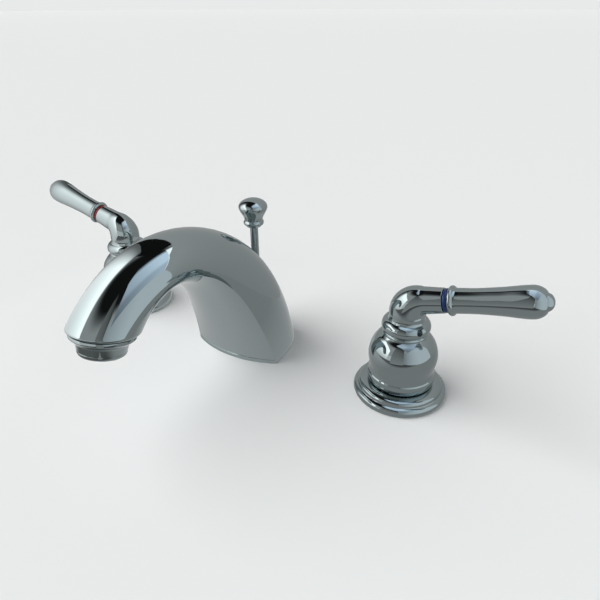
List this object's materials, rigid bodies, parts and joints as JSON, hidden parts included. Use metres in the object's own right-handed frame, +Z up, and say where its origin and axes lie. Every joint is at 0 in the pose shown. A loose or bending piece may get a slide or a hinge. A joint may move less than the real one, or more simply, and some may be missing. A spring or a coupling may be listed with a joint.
{
  "type": "mini-widespread bathroom faucet",
  "caption": "Deck-mounted bathroom faucet with a separate arched spout, side lever handles on round bases and a lift rod behind the spout.",
  "frame": {"origin": "on the deck surface, midway between the two handle stems", "axes": "+Z up, +X from the hot side to the cold side, the user stands at -Y"},
  "size_m": [0.335, 0.1477, 0.2072],
  "materials": {
    "chrome": "polished chrome plate over cast brass",
    "brass": "turned and cast brass, unplated, dull",
    "steel": "stamped stainless steel",
    "rubber": "moulded black rubber",
    "nylon": "moulded off-white nylon",
    "ceramic": "lapped alumina ceramic",
    "hot_index": "moulded red acrylic ring",
    "cold_index": "moulded dark blue acrylic ring"
  },
  "bodies": {
    "fixed_parts": {"spout_body": "chrome", "spout_base_gasket": "rubber", "spout_base_plate": "brass", "lift_rod_guide": "nylon", "spout_shank": "brass", "spout_rubber_washer": "rubber", "spout_steel_washer": "steel", "spout_locknut": "brass", "hose_tee": "brass", "aerator_housing": "chrome", "aerator_insert": "nylon", "aerator_washer": "rubber", "hot_valve_body": "brass", "hot_top_washer": "steel", "hot_top_ring_nut": "brass", "hot_escutcheon": "chrome", "hot_escutcheon_pad": "rubber", "hot_rubber_washer": "rubber", "hot_steel_washer": "steel", "hot_locknut": "brass", "hot_cartridge_body": "brass", "hot_fixed_disc": "ceramic", "hot_seat_seal": "rubber", "cold_valve_body": "brass", "cold_top_washer": "steel", "cold_top_ring_nut": "brass", "cold_escutcheon": "chrome", "cold_escutcheon_pad": "rubber", "cold_rubber_washer": "rubber", "cold_steel_washer": "steel", "cold_locknut": "brass", "cold_cartridge_body": "brass", "cold_fixed_disc": "ceramic", "cold_seat_seal": "rubber"},
    "pull_rod": {"lift_rod": "chrome", "lift_knob": "chrome"},
    "hot_handle": {"hot_handle_hub": "chrome", "hot_set_screw": "steel", "hot_index_ring": "hot_index", "hot_lever_grip": "chrome", "hot_cartridge_stem": "brass", "hot_stem_oring": "rubber", "hot_stem_clip": "steel", "hot_moving_disc": "ceramic"},
    "cold_handle": {"cold_handle_hub": "chrome", "cold_set_screw": "steel", "cold_index_ring": "cold_index", "cold_lever_grip": "chrome", "cold_cartridge_stem": "brass", "cold_stem_oring": "rubber", "cold_stem_clip": "steel", "cold_moving_disc": "ceramic"}
  },
  "joints": [
    {"name": "hot_handle_turn", "type": "hinge", "parent": "fixed_parts", "child": "hot_handle", "pos_m": [-0.1016, 0, 0.02], "axis": [0, 0, 1], "range_deg": [0, 90]},
    {"name": "cold_handle_turn", "type": "hinge", "parent": "fixed_parts", "child": "cold_handle", "pos_m": [0.1016, 0, 0.02], "axis": [0, 0, 1], "range_deg": [-90, 0]},
    {"name": "lift_rod_slide", "type": "slide", "parent": "fixed_parts", "child": "pull_rod", "axis": [0, 0, 1], "range_m": [-0.009, 0.023]}
  ]
}
